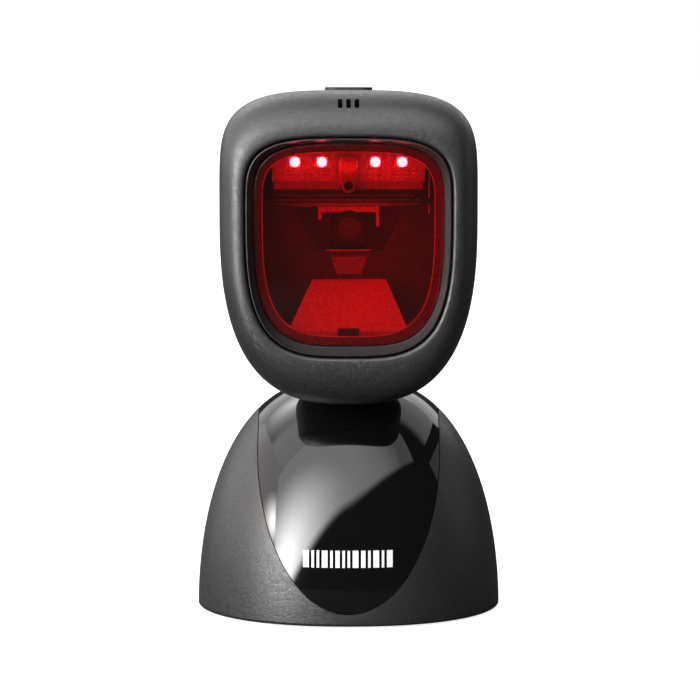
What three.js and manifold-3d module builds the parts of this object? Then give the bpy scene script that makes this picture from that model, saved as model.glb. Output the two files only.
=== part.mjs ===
// Hands-free presentation barcode scanner: a tilting scan head on a weighted dome stand.
// Units are millimetres. +Z is up, the scan window faces -Y, and the origin is the centre of the
// stand's footprint on the counter.
import * as THREE from "three";
import { mergeVertices } from "three/addons/utils/BufferGeometryUtils.js";
import Module from "manifold-3d";

const wasm = await Module();
wasm.setup();

// ---------------------------------------------------------------- driving dimensions
const STAND_HALF = 42.5; // half width and half depth of the stand's footprint
const STAND_TOP = 63.5; // height of the dome
const STAND_FOOT = 0.6; // height of the dome's lower edge over the counter
const STAND_WALL = 2.8;
const STAND_ROUND = 2.7; // exponent of the dome's side profile
const STAND_SQUARE = 2.2; // exponent of the dome's plan, a little squarer than a circle
const INLAY_HALF = 25; // half width of the gloss inlay
const INLAY_SHOULDER = 47; // height at which the inlay's sides start to curve in
const INLAY_TIP = 4; // height of the inlay's lower tip
const INLAY_THICK = 1;
const INLAY_POCKET = 1.3;
const INLAY_EDGE_GAP = 0.25;

const FRONT_Y = -42.4; // crest of the bezel, the foremost line of the head
const SEAM_Y = -30; // parting line between bezel and rear shell
const SEAM_GAP = 0.4;
const BACK_Y = 26; // rearmost point of the head
const BACK_Z = 106;
const HEAD_WALL = 2.2;
const HEAD_ROUND = 2.2; // exponent of the bezel's bulge from crest to seam
const UNDERSIDE_RISE = 9.5; // how far the head's underside climbs behind the seam, clear of the dome
const UNDERSIDE_RUN = 11;

const TILT_Y = 2; // tilt axis, along X
const TILT_Z = 78;
const KNUCKLE_R = 5.5;
const KNUCKLE_HALF = 7;
const AXLE_R = 1.5;
const BORE_R = 1.58;
const GAP = 0.3; // left between faces that rest on each other

const AROUND = 48; // facets round the large shells
const SMALL_AROUND = 12; // facets round a fastener

// Outlines across the head, seen from the front: centre height, half width, reach up and down,
// and the superellipse exponents of the upper half (side, top) and of the lower half.
const HEAD_OUTLINE = { z: 112.9, a: 35.1, up: 32.6, down: 52.8, side: 3.4, top: 5, low: 2.75 };
const OPENING = { z: 114.8, a: 28.15, up: 18.7, down: 41, side: 3.6, top: 3.6, low: 3.4 };
const WINDOW = { z: 114.4, a: 25.5, up: 16.9, down: 37.4, side: 3.6, top: 3.6, low: 3.6 };

// ---------------------------------------------------------------- materials
const plastic = (color, roughness) =>
  new THREE.MeshStandardMaterial({ color, roughness, metalness: 0 });
const steel = new THREE.MeshStandardMaterial({ color: 0xb4b6b8, roughness: 0.35, metalness: 1 });
const matteBlack = plastic(0x1c1c1d, 0.6);
const glossBlack = plastic(0x060607, 0.05);
const innerBlack = plastic(0x141415, 0.8);
const rubberBlack = plastic(0x101010, 0.9);
const boardGreen = plastic(0x1d4a2c, 0.5);
const redFilter = plastic(0x8c0508, 0.08);
const lightGrey = plastic(0x9a9a9a, 0.6);
const lampRed = plastic(0xff2030, 0.3);
const clearPlastic = plastic(0xd8dde0, 0.1);

// ---------------------------------------------------------------- solids
function toSolid(geometry) {
  const bare = geometry.clone();
  bare.deleteAttribute("normal");
  bare.deleteAttribute("uv");
  const merged = mergeVertices(bare, 1e-4);
  return new wasm.Manifold(
    new wasm.Mesh({
      numProp: 3,
      vertProperties: new Float32Array(merged.attributes.position.array),
      triVerts: new Uint32Array(merged.index.array),
    }),
  );
}

function toGeometry(solid) {
  const mesh = solid.getMesh();
  const geometry = new THREE.BufferGeometry();
  geometry.setAttribute("position", new THREE.BufferAttribute(mesh.vertProperties, 3));
  geometry.setIndex(new THREE.BufferAttribute(mesh.triVerts, 1));
  return geometry;
}

const joined = (...solids) => solids.reduce((whole, piece) => whole.add(piece));
const cut = (solid, ...tools) => tools.reduce((rest, tool) => rest.subtract(tool), solid);

// A box from its lowest and highest corners.
function box(low, high) {
  const size = low.map((value, k) => high[k] - value);
  const middle = low.map((value, k) => (value + high[k]) / 2);
  return toSolid(new THREE.BoxGeometry(...size).translate(...middle));
}

// A round solid along an axis, from a profile of [radius, distance along the axis] pairs that
// starts and ends on the axis, with the axis starting at a point.
function turned(profile, axis, [x, y, z], segments = SMALL_AROUND) {
  const points = profile.map(([r, t]) => new THREE.Vector2(r, t));
  const geometry = new THREE.LatheGeometry(points, segments);
  if (axis === "x") geometry.rotateZ(-Math.PI / 2);
  if (axis === "z") geometry.rotateX(Math.PI / 2);
  return toSolid(geometry.translate(x, y, z));
}

const rod = (radius, length, axis, start, segments) =>
  turned([[0, 0], [radius, 0], [radius, length], [0, length]], axis, start, segments);

// A flat ring: a rod with a hole.
const washer = (outer, inner, thickness, axis, start) =>
  turned(
    [[inner, 0], [outer, 0], [outer, thickness], [inner, thickness], [inner, 0]],
    axis,
    start,
    20,
  );

// A pan-head screw whose head starts at a point and whose shank runs on along the axis.
function screw(headR, headLength, shankR, shankLength, axis, start, turnedRound = false) {
  const end = headLength + shankLength;
  const profile = [[0, 0], [headR, 0], [headR, headLength], [shankR, headLength], [shankR, end], [0, end]];
  const flipped = profile.map(([r, t]) => [r, end - t]).reverse();
  return turned(turnedRound ? flipped : profile, axis, start, 10);
}

// A prism from a flat Shape, drawn as (u, v) and laid in the plane of two axes.
function prism(shape, plane, from, to, curveSegments = 8) {
  const geometry = new THREE.ExtrudeGeometry(shape, {
    depth: to - from,
    bevelEnabled: false,
    curveSegments,
  });
  if (plane === "xz") geometry.rotateX(Math.PI / 2).translate(0, to, 0);
  if (plane === "xy") geometry.translate(0, 0, from);
  if (plane === "yz") geometry.rotateY(Math.PI / 2).rotateX(Math.PI / 2).translate(from, 0, 0);
  return toSolid(geometry);
}

function polygon(points) {
  return new THREE.Shape(points.map(([u, v]) => new THREE.Vector2(u, v)));
}

function roundedRectangle(halfU, halfV, radius, centreU = 0, centreV = 0) {
  const shape = new THREE.Shape();
  const [left, right] = [centreU - halfU, centreU + halfU];
  const [low, high] = [centreV - halfV, centreV + halfV];
  shape.moveTo(left + radius, low);
  shape.lineTo(right - radius, low);
  shape.absarc(right - radius, low + radius, radius, -Math.PI / 2, 0);
  shape.lineTo(right, high - radius);
  shape.absarc(right - radius, high - radius, radius, 0, Math.PI / 2);
  shape.lineTo(left + radius, high);
  shape.absarc(left + radius, high - radius, radius, Math.PI / 2, Math.PI);
  shape.lineTo(left, low + radius);
  shape.absarc(left + radius, low + radius, radius, Math.PI, 1.5 * Math.PI);
  return shape;
}

// ---------------------------------------------------------------- lofts
// A closed surface through rings of points. The list of rings either wraps onto itself, as for a
// frame with a hole, or is capped by a point at each end.
function loft(rings, wraps = false) {
  const count = rings[0].length;
  const positions = rings.flat().flatMap((p) => [p.x, p.y, p.z]);
  const index = [];
  const spans = wraps ? rings.length : rings.length - 1;
  for (let k = 0; k < spans; k++) {
    const here = k * count;
    const next = ((k + 1) % rings.length) * count;
    for (let i = 0; i < count; i++) {
      const j = (i + 1) % count;
      index.push(here + i, here + j, next + i, next + i, here + j, next + j);
    }
  }
  if (!wraps) {
    for (const end of [0, rings.length - 1]) {
      const centre = positions.length / 3;
      const middle = rings[end].reduce((sum, p) => sum.add(p), new THREE.Vector3());
      positions.push(...middle.divideScalar(count).toArray());
      for (let i = 0; i < count; i++) {
        const [a, b] = [end * count + i, end * count + ((i + 1) % count)];
        index.push(centre, ...(end === 0 ? [b, a] : [a, b]));
      }
    }
  }
  const geometry = new THREE.BufferGeometry();
  geometry.setAttribute("position", new THREE.Float32BufferAttribute(positions, 3));
  geometry.setIndex(index);
  const solid = toSolid(geometry);
  if (solid.volume() > 0) return solid;
  geometry.setIndex(index.reverse());
  return toSolid(geometry);
}

const power = (value, exponent) => Math.sign(value) * Math.abs(value) ** exponent;
const mix = (a, b, t) => a + (b - a) * t;

function mixOutlines(a, b, t) {
  return Object.fromEntries(Object.keys(a).map((key) => [key, mix(a[key], b[key], t)]));
}

// An outline moved inwards by a distance, or outwards where it is negative.
function inset(outline, distance) {
  return {
    ...outline,
    a: outline.a - distance,
    up: outline.up - distance,
    down: outline.down - distance,
  };
}

// The ring of points of an outline in the vertical plane at depth y.
function headRing(outline, y) {
  return Array.from({ length: AROUND }, (_, i) => {
    const angle = (2 * Math.PI * i) / AROUND;
    const [c, s] = [Math.cos(angle), Math.sin(angle)];
    const above = s >= 0;
    const x = outline.a * power(c, 2 / (above ? outline.side : outline.low));
    const reach = above ? outline.up : outline.down;
    const z = outline.z + reach * power(s, 2 / (above ? outline.top : outline.low));
    return new THREE.Vector3(x, y, z);
  });
}

// A solid plug with one outline from depth to depth.
const plug = (outline, from, to) => loft([headRing(outline, from), headRing(outline, to)]);

// ---------------------------------------------------------------- head: bezel and rear shell
const CREST = inset(OPENING, -0.8);
const CREST_INNER = inset(OPENING, -1.8);
const LIP_END_Y = -36.5;
const BULGE_STEPS = 6;

// The bezel's surface from the crest to the seam, as a list of [outline, y].
function bulge(crest, crestY, edge) {
  return Array.from({ length: BULGE_STEPS + 1 }, (_, k) => {
    const angle = (Math.PI / 2) * (k / BULGE_STEPS);
    const out = Math.sin(angle) ** (2 / HEAD_ROUND);
    const forward = Math.max(Math.cos(angle), 0) ** (2 / HEAD_ROUND);
    return [mixOutlines(crest, edge, out), mix(SEAM_Y, crestY, forward)];
  });
}

const SIDES = [["left", -1], ["right", 1]];
const CASE_SCREW = [19.5, 92]; // rear shell to optics shroud, each side
const SHROUD_SCREW = [27, 82]; // optics shroud to bezel, each side
const HOOK_X = 15;

const SLOT_PITCH = 2.25;
const SLOT_WIDTH = 1.3;
const SLOT_LENGTH = 4.6;

function beeperSlot(column) {
  const tool = new THREE.BoxGeometry(SLOT_WIDTH, SLOT_LENGTH, 7);
  tool.rotateX(THREE.MathUtils.degToRad(35));
  return toSolid(tool.translate(column * SLOT_PITCH, -38.6, 142.4));
}

function frontBezel() {
  const outer = bulge(CREST, FRONT_Y, HEAD_OUTLINE);
  const inner = bulge(CREST_INNER, FRONT_Y + HEAD_WALL, inset(HEAD_OUTLINE, HEAD_WALL));
  const lip = [
    [CREST_INNER, LIP_END_Y],
    [OPENING, LIP_END_Y],
    [OPENING, FRONT_Y + 0.5],
  ];
  const rings = [...outer, ...inner.reverse(), ...lip].map(([o, y]) => headRing(o, y));
  const shell = loft(rings, true);
  const inside = loft(outer.map(([o, y]) => headRing(inset(o, 0.8), y)));
  const [screwX, screwZ] = SHROUD_SCREW;
  const bosses = SIDES.map(([, side]) =>
    rod(2.2, 10.8, "y", [side * screwX, -42, screwZ]).intersect(inside),
  );
  const threads = SIDES.map(([, side]) => rod(0.9, 6.5, "y", [side * screwX, -37, screwZ]));
  const hooks = [-HOOK_X, HOOK_X].map((x) =>
    joined(
      box([x - 3, -33.2, 140.4], [x + 3, -30.2, 143.2]).intersect(inside),
      box([x - 3, -31, 140.4], [x + 3, -25.2, 141.8]),
      box([x - 3, -26.4, 141.2], [x + 3, -25.2, 142.1]),
    ),
  );
  const slots = [-1, 0, 1].map(beeperSlot);
  return cut(joined(shell, ...bosses, ...hooks), ...threads, ...slots);
}

// The rear shell's outline at a share of its depth, from 0 at the seam to 1 at the back.
function rearOutline(share, wall) {
  const back = BACK_Y - wall;
  const y = mix(SEAM_Y + SEAM_GAP, back, share);
  const underside =
    HEAD_OUTLINE.z - HEAD_OUTLINE.down + UNDERSIDE_RISE * (1 - Math.exp((SEAM_Y - y) / UNDERSIDE_RUN));
  const top = HEAD_OUTLINE.z + HEAD_OUTLINE.up;
  const closeTop = Math.max(1 - share ** 2.6, 0) ** (1 / 2.2);
  const closeLow = Math.max(1 - share ** 4, 0) ** (1 / 2.5);
  const closeSide = Math.max(1 - share ** 2.8, 0) ** (1 / 2.2);
  const highest = BACK_Z + (top - wall - BACK_Z) * closeTop;
  const lowest = BACK_Z - (BACK_Z - underside - wall) * closeLow;
  const z = mix(HEAD_OUTLINE.z, BACK_Z, share ** 2);
  const round = share ** 3;
  return [
    {
      z,
      a: (HEAD_OUTLINE.a - wall) * closeSide,
      up: highest - z,
      down: z - lowest,
      side: mix(HEAD_OUTLINE.side, 2.3, round),
      top: mix(HEAD_OUTLINE.top, 2.3, round),
      low: mix(HEAD_OUTLINE.low, 2.3, round),
    },
    y,
  ];
}

const REAR_STEPS = 13;

function rearBody(wall) {
  const rings = Array.from({ length: REAR_STEPS }, (_, k) => {
    const share = Math.sin((Math.PI / 2) * (k / REAR_STEPS));
    return headRing(...rearOutline(share, wall));
  });
  return loft(rings);
}

const BUTTON_Y = -19.5;
const BUTTON_HALF_X = 6.5;
const BUTTON_HALF_Y = 4;
const BUTTON_TOP = 146.05;
const JACK_HALF_X = 6.6;
const JACK_LOW = 84;
const JACK_HIGH = 94.6;
const JACK_FACE_Y = 20.6;
const YOKE_SCREW_X = 15;
const YOKE_SCREW_Y = -4;
const YOKE_PLATE_LOW = 84.4;
const BOARD_SCREW_X = 16;
const BOARD_SCREW_Z = 126;
const TOP_BOARD_LOW = 134.8;
const TOP_BOARD_SCREW = [9.5, -12];

function rearShell() {
  const outer = rearBody(0);
  const hollow = rearBody(HEAD_WALL);
  const open = box([-50, SEAM_Y - 1, 50], [50, SEAM_Y + SEAM_GAP + 0.6, 160]).intersect(
    plug(inset(HEAD_OUTLINE, HEAD_WALL), SEAM_Y - 1, SEAM_Y + SEAM_GAP + 0.6),
  );
  const room = joined(hollow, open);
  const [caseX, caseZ] = CASE_SCREW;
  const caseBosses = SIDES.map(([, side]) => rod(3.6, 60, "y", [side * caseX, -6.4, caseZ]));
  const caseHoles = SIDES.map(([, side]) =>
    joined(
      rod(1.1, 10, "y", [side * caseX, -8, caseZ]),
      rod(2.6, 60, "y", [side * caseX, 0, caseZ]),
    ),
  );
  const yokeBosses = SIDES.map(([, side]) =>
    rod(2.5, 17, "z", [side * YOKE_SCREW_X, YOKE_SCREW_Y, YOKE_PLATE_LOW - 17.3]),
  );
  const yokeHoles = SIDES.map(([, side]) =>
    rod(1.2, 8, "z", [side * YOKE_SCREW_X, YOKE_SCREW_Y, YOKE_PLATE_LOW - 8]),
  );
  const boardBosses = SIDES.map(([, side]) =>
    rod(2.6, 20, "y", [side * BOARD_SCREW_X, 6.5, BOARD_SCREW_Z]),
  );
  const boardHoles = SIDES.map(([, side]) =>
    rod(1.1, 6.5, "y", [side * BOARD_SCREW_X, 6, BOARD_SCREW_Z]),
  );
  const [topX, topY] = TOP_BOARD_SCREW;
  const topBosses = SIDES.map(([, side]) => rod(2.2, 8, "z", [side * topX, topY, 136.3]));
  const topHoles = SIDES.map(([, side]) => rod(1, 5, "z", [side * topX, topY, 136]));
  const bosses = joined(...caseBosses, ...yokeBosses, ...boardBosses, ...topBosses).intersect(outer);
  const neckSlot = prism(roundedRectangle(8.6, 9.8, 3, 0, TILT_Y), "xy", 60, TILT_Z + 3, 4);
  const jackHole = prism(
    roundedRectangle(JACK_HALF_X + 0.6, (JACK_HIGH - JACK_LOW) / 2 + 0.6, 1.2, 0, (JACK_HIGH + JACK_LOW) / 2),
    "xz",
    12,
    40,
    3,
  );
  const buttonHole = prism(
    roundedRectangle(BUTTON_HALF_X + 0.3, BUTTON_HALF_Y + 0.3, 3.3, 0, BUTTON_Y),
    "xy",
    138,
    150,
    4,
  );
  const hingeRoom = box([-14.4, -1.3, TILT_Z - 4.6], [14.4, 7, 84]);
  const holes = [...caseHoles, ...yokeHoles, ...boardHoles, ...topHoles, hingeRoom];
  return cut(joined(cut(outer, room), bosses), ...holes, neckSlot, jackHole, buttonHole);
}

// ---------------------------------------------------------------- head: window
const WINDOW_FRONT_Y = -37.8;
const WINDOW_BACK_Y = -35.8;
const SEAT_Y = WINDOW_BACK_Y + 1; // front of the flange behind the window
const SEAT_THICK = 1.4;
const FLANGE_INSET = 2.3;
const WINDOW_BORDER = 2.5; // width of the border that slopes back round the flat of the window
const WINDOW_BORDER_DROP = 0.8;

function windowFrame() {
  const profile = [
    [inset(OPENING, 0.45), FRONT_Y + 1],
    [inset(WINDOW, -0.5), WINDOW_FRONT_Y - 0.4],
    [inset(WINDOW, -0.35), SEAT_Y],
    [inset(WINDOW, FLANGE_INSET), SEAT_Y],
    [inset(WINDOW, FLANGE_INSET), SEAT_Y + SEAT_THICK],
    [inset(OPENING, -1.4), SEAT_Y + SEAT_THICK],
    [inset(OPENING, -1.4), LIP_END_Y + 0.4],
    [inset(OPENING, 0.45), LIP_END_Y + 0.4],
  ];
  const ring = loft(profile.map(([o, y]) => headRing(o, y)), true);
  const lowerTab = box([-2.9, SEAT_Y, 77.4], [2.9, SEAT_Y + SEAT_THICK, 81.4]);
  const [screwX, screwZ] = SHROUD_SCREW;
  const bossRoom = SIDES.map(([, side]) =>
    rod(2.6, 8, "y", [side * screwX, LIP_END_Y + 0.2, screwZ]),
  );
  return cut(joined(ring, lowerTab), ...bossRoom);
}

function scanWindow() {
  return loft([
    headRing(WINDOW, WINDOW_BACK_Y),
    headRing(WINDOW, WINDOW_FRONT_Y + WINDOW_BORDER_DROP),
    headRing(inset(WINDOW, WINDOW_BORDER), WINDOW_FRONT_Y),
  ]);
}

function windowGasket() {
  const outer = WINDOW;
  const inner = inset(WINDOW, 2);
  const rings = [
    headRing(outer, WINDOW_BACK_Y + 0.3),
    headRing(outer, SEAT_Y - 0.3),
    headRing(inner, SEAT_Y - 0.3),
    headRing(inner, WINDOW_BACK_Y + 0.3),
  ];
  return loft(rings, true);
}

// ---------------------------------------------------------------- head: optics
const SHROUD = inset(WINDOW, 0.6);
const SHROUD_FRONT_Y = SEAT_Y + SEAT_THICK + GAP;
const SHROUD_BACK_Y = -12;
const SHROUD_WALL = 1.2;
const CHAMBER = inset(SHROUD, SHROUD_WALL);
const LAMP_ROOM = inset(CHAMBER, GAP);

// A solid between two four-sided outlines at two depths, each given as [half width at the
// bottom, half width at the top, lowest, highest].
function funnel(front, frontY, rear, rearY) {
  const ring = ([low, high, bottom, top], y) => [
    new THREE.Vector3(-low, y, bottom),
    new THREE.Vector3(low, y, bottom),
    new THREE.Vector3(high, y, top),
    new THREE.Vector3(-high, y, top),
  ];
  return loft([ring(front, frontY), ring(rear, rearY)]);
}

const HOOD_MOUTH = [8.6, 15.3, 100.6, 112.6];
const HOOD_THROAT = [8.3, 8.3, 100.2, 112.2];
const AIMER_MOUTH = [3.2, 5, 94.5, 99.2];
const widened = ([low, high, bottom, top], by) => [low + by, high + by, bottom - by, top + by];

function opticsShroud() {
  const outer = plug(SHROUD, SHROUD_FRONT_Y, SHROUD_BACK_Y);
  const chamber = plug(CHAMBER, SHROUD_FRONT_Y - 1, SHROUD_BACK_Y - SHROUD_WALL);
  const mouth = funnel(HOOD_MOUTH, -16, HOOD_MOUTH, -10);
  const aimer = funnel(widened(AIMER_MOUTH, GAP), -16, widened(AIMER_MOUTH, GAP), -10);
  const [caseX, caseZ] = CASE_SCREW;
  const [earX, earZ] = SHROUD_SCREW;
  const body = cut(outer, chamber);
  const bosses = SIDES.map(([, side]) => rod(2.6, 5.9, "y", [side * caseX, -12.6, caseZ]));
  const bossHoles = SIDES.map(([, side]) => rod(0.85, 5, "y", [side * caseX, -11.5, caseZ]));
  const ears = SIDES.map(([, side]) =>
    joined(
      rod(2.2, 1.5, "y", [side * earX, -30.9, earZ]),
      box([side * 22.5 - 4.5, -30.9, earZ - 2], [side * 22.5 + 4.5, -29.4, earZ + 2]),
    ).subtract(chamber),
  );
  const earHoles = SIDES.map(([, side]) => rod(1, 4, "y", [side * earX, -32, earZ]));
  return cut(joined(body, ...bosses, ...ears), mouth, aimer, ...bossHoles, ...earHoles);
}

function imagerHood() {
  const [frontY, rearY] = [SHROUD_BACK_Y + GAP, -4.6];
  const outer = funnel(widened(HOOD_MOUTH, 1), frontY, widened(HOOD_THROAT, 1), rearY);
  const inner = funnel(widened(HOOD_MOUTH, 0.1), frontY - 0.1, HOOD_THROAT, rearY + 0.1);
  return cut(outer, inner);
}

// The pale reflector that throws lamp light forward from the floor of the chamber.
function lowerReflector() {
  const wedge = funnel([16.3, 16.3, 70, 80.4], -32.4, [9.8, 9.8, 70, 93.1], -13.5);
  return wedge.intersect(plug(LAMP_ROOM, -33, -13.5));
}

const aimerLens = () => funnel(AIMER_MOUTH, -13.6, AIMER_MOUTH, -11.4);

const IMAGER_Z = 106.4;
const imagerHolder = () => box([-8.5, -4.3, IMAGER_Z - 7], [8.5, 4.2, IMAGER_Z + 7]);

const imagerLens = () =>
  cut(rod(4.6, 4.8, "y", [0, -9.5, IMAGER_Z], 20), rod(3.2, 2.6, "y", [0, -10.5, IMAGER_Z], 20));

const lensGlass = () =>
  turned([[0, 0], [1.8, 0.15], [2.8, 0.5], [2.8, 1], [0, 1]], "y", [0, -9.2, IMAGER_Z], 16);

// ---------------------------------------------------------------- head: lamp board and sensor
const LAMP_Z = 126.2;
const LAMPS = [-14.4, -7.2, 7.2, 14.4];

function ledBoard() {
  const sheet = box([-20.6, -32.2, 120.8], [20.6, -31.2, 131]);
  return sheet.intersect(plug(LAMP_ROOM, -33, -31));
}

const led = (x) => box([x - 1.5, -33.5, LAMP_Z - 1.4], [x + 1.5, -32.5, LAMP_Z + 1.4]);

// The bracket behind and under the lamp board, stepped back towards the imager's hood.
function ledBracket() {
  const section = polygon([
    [-32.2, 117.9], [-32.2, 120.5], [-30.9, 120.5], [-30.9, 130], [-29.2, 130],
    [-29.2, 118.8], [-24, 118.8], [-24, 113.6], [-26, 113.6], [-26, 114.9],
    [-28, 114.9], [-28, 116.3], [-30, 116.3], [-30, 117.9],
  ]);
  const bar = prism(section, "yz", -20.5, 20.5);
  const screwHole = rod(0.9, 12, "y", [0, -34, SENSOR_SCREW_Z]);
  return cut(bar.intersect(plug(LAMP_ROOM, -33, -23)), screwHole);
}

const SENSOR_SCREW_Z = 119.9;

function sensorLens() {
  const pill = prism(roundedRectangle(2.4, 4.7, 2.3, 0, 123.6), "xz", -34.6, -33.6, 4);
  const boss = rod(2, 2.1, "y", [0, -34.6, SENSOR_SCREW_Z]);
  const hole = rod(1.3, 4, "y", [0, -36, SENSOR_SCREW_Z]);
  return cut(joined(pill, boss), hole);
}

// ---------------------------------------------------------------- head: electronics
const BOARD_FRONT_Y = 4.5;
const BOARD_BACK_Y = 6.1;

function mainBoard() {
  const sheet = box([-21, BOARD_FRONT_Y, 85], [21, BOARD_BACK_Y, 131]);
  const holes = SIDES.map(([, side]) =>
    joined(
      rod(1.4, 4, "y", [side * BOARD_SCREW_X, 3.5, BOARD_SCREW_Z]),
      rod(4.2, 4, "y", [side * CASE_SCREW[0], 3.5, CASE_SCREW[1]]),
    ),
  );
  return cut(sheet, ...holes);
}

function interfaceJack() {
  const body = box([-JACK_HALF_X, 6.5, JACK_LOW], [JACK_HALF_X, JACK_FACE_Y, JACK_HIGH]);
  const socket = box([-5.4, 9, 86.2], [5.4, 30, 92.8]);
  const latchRoom = box([-3, 9, 84.9], [3, 30, 86.3]);
  return cut(body, socket, latchRoom);
}

const topBoard = () => {
  const [x, y] = TOP_BOARD_SCREW;
  const holes = SIDES.map(([, side]) => rod(1.2, 4, "z", [side * x, y, TOP_BOARD_LOW - 1]));
  return cut(box([-12, -33, TOP_BOARD_LOW], [12, -9, TOP_BOARD_LOW + 1.2]), ...holes);
};

const beeper = () => {
  const can = rod(4.7, 3.7, "z", [0, -28, 136.3], 20);
  return cut(can, rod(1, 2, "z", [0, -28, 139]));
};

const switchBody = () =>
  cut(box([-3, BUTTON_Y - 3, 136.3], [3, BUTTON_Y + 3, 139.7]), rod(2.1, 2, "z", [0, BUTTON_Y, 138.4]));
const switchPlunger = () => rod(1.7, 1.7, "z", [0, BUTTON_Y, 139.3]);

function topButton() {
  const cap = prism(
    roundedRectangle(BUTTON_HALF_X, BUTTON_HALF_Y, 3, 0, BUTTON_Y),
    "xy",
    142.1,
    BUTTON_TOP,
    4,
  );
  const flange = prism(roundedRectangle(7.8, 5.2, 3, 0, BUTTON_Y), "xy", 141.4, 142.2, 4);
  const stem = rod(2, 1, "z", [0, BUTTON_Y, 141.3]);
  return joined(cap, flange, stem);
}

// ---------------------------------------------------------------- tilt hinge
function tiltYoke() {
  const plate = box([-18, -7, YOKE_PLATE_LOW], [18, 4, YOKE_PLATE_LOW + 1.2]);
  const ears = SIDES.map(([, side]) => {
    const x = side > 0 ? 8.6 : -9.8;
    const blade = box([x, TILT_Y - 4, TILT_Z], [x + 1.2, TILT_Y + 2, YOKE_PLATE_LOW + 0.6]);
    return joined(blade, rod(4, 1.2, "x", [x, TILT_Y, TILT_Z], 20));
  });
  const bore = rod(BORE_R, 30, "x", [-15, TILT_Y, TILT_Z], 24);
  const holes = SIDES.map(([, side]) =>
    rod(1.5, 4, "z", [side * YOKE_SCREW_X, YOKE_SCREW_Y, YOKE_PLATE_LOW - 1]),
  );
  return cut(joined(plate, ...ears), bore, ...holes);
}

const tiltAxle = () =>
  turned(
    [[0, 0], [2.8, 0], [2.8, 2], [AXLE_R, 2], [AXLE_R, 26], [0, 26]],
    "x",
    [-12.1, TILT_Y, TILT_Z],
    24,
  );

const axleNut = () =>
  turned([[2, 0], [3.1, 0], [3.1, 2.2], [2, 2.2], [2, 0]], "x", [10.9, TILT_Y, TILT_Z], 6);

function neckPost() {
  const knuckle = rod(KNUCKLE_R, 2 * KNUCKLE_HALF, "x", [-KNUCKLE_HALF, TILT_Y, TILT_Z], 24);
  const stem = prism(roundedRectangle(KNUCKLE_HALF, KNUCKLE_R, 1.8, 0, TILT_Y), "xy", 55, TILT_Z, 4);
  const flange = prism(roundedRectangle(16, 9, 3, 0, TILT_Y), "xy", 53.5, 56.5, 4);
  const bore = rod(BORE_R, 20, "x", [-10, TILT_Y, TILT_Z], 24);
  const holes = SIDES.map(([, side]) => rod(1.6, 5, "z", [side * NECK_SCREW_X, TILT_Y, 52.5]));
  return cut(joined(knuckle, stem, flange), bore, ...holes);
}

const NECK_SCREW_X = 12.3;

// ---------------------------------------------------------------- stand
// The plan ring of the dome at a height, for a dome shrunk by a wall.
function domeRing(z, wall) {
  const top = STAND_TOP - wall;
  const shrink = Math.max(1 - (z / top) ** 2, 0) ** (1 / STAND_ROUND);
  const reach = (STAND_HALF - wall) * shrink;
  return Array.from({ length: AROUND }, (_, i) => {
    const angle = (2 * Math.PI * i) / AROUND;
    const x = reach * power(Math.cos(angle), 2 / STAND_SQUARE);
    const y = reach * power(Math.sin(angle), 2 / STAND_SQUARE);
    return new THREE.Vector3(x, y, z);
  });
}

const DOME_STEPS = 12;

function dome(wall, bottom) {
  const rings = Array.from({ length: DOME_STEPS }, (_, k) => {
    const height = (STAND_TOP - wall) * Math.sin((Math.PI / 2) * (k / DOME_STEPS));
    return domeRing(Math.max(height, bottom), wall);
  });
  return loft(rings);
}

// Where the gloss inlay lies: a tongue down the front and a rounded end behind the neck.
function inlayRegion(grow) {
  const half = INLAY_HALF + grow;
  const tongue = new THREE.Shape();
  tongue.moveTo(half, INLAY_SHOULDER);
  tongue.lineTo(half, 90);
  tongue.lineTo(-half, 90);
  tongue.lineTo(-half, INLAY_SHOULDER);
  tongue.absellipse(0, INLAY_SHOULDER, half, INLAY_SHOULDER - INLAY_TIP + grow, Math.PI, 2 * Math.PI);
  const tail = new THREE.Shape();
  tail.moveTo(-half, 0);
  tail.lineTo(half, 0);
  tail.lineTo(half, 8);
  tail.absellipse(0, 8, half, 20 + grow, 0, Math.PI);
  return joined(prism(tongue, "xz", -60, 0.01, 20), prism(tail, "xy", 30, 90, 20));
}

const neckOpening = () => prism(roundedRectangle(7.6, 6.1, 2, 0, TILT_Y), "xy", 50, 70, 4);

const BASE_SCREWS = [
  ["base_screw_front_left", -24.6, -24.6],
  ["base_screw_front_right", 24.6, -24.6],
  ["base_screw_rear_left", -24.6, 24.6],
  ["base_screw_rear_right", 24.6, 24.6],
];

function baseShell() {
  const outer = dome(0, STAND_FOOT);
  const inner = joined(dome(STAND_WALL, STAND_FOOT), box([-30, -30, 0], [30, 30, 1]));
  const baseBosses = BASE_SCREWS.map(([, x, y]) => rod(3.2, 50, "z", [x, y, 4.9]));
  const neckBosses = SIDES.map(([, side]) => rod(3.2, 10, "z", [side * NECK_SCREW_X, TILT_Y, 56.8]));
  const bosses = joined(...baseBosses, ...neckBosses).intersect(dome(STAND_WALL / 2, 1));
  const baseHoles = BASE_SCREWS.map(([, x, y]) => rod(1.4, 10, "z", [x, y, 4]));
  const neckHoles = SIDES.map(([, side]) => rod(1.4, 3.2, "z", [side * NECK_SCREW_X, TILT_Y, 56.4]));
  const pocket = cut(inlayRegion(INLAY_EDGE_GAP), dome(INLAY_POCKET, 0));
  const body = joined(cut(outer, inner), bosses);
  return cut(body, ...baseHoles, ...neckHoles, pocket, neckOpening());
}

const glossInlay = () =>
  cut(dome(0, STAND_FOOT).intersect(inlayRegion(0)), dome(INLAY_THICK, 0), neckOpening());

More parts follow.
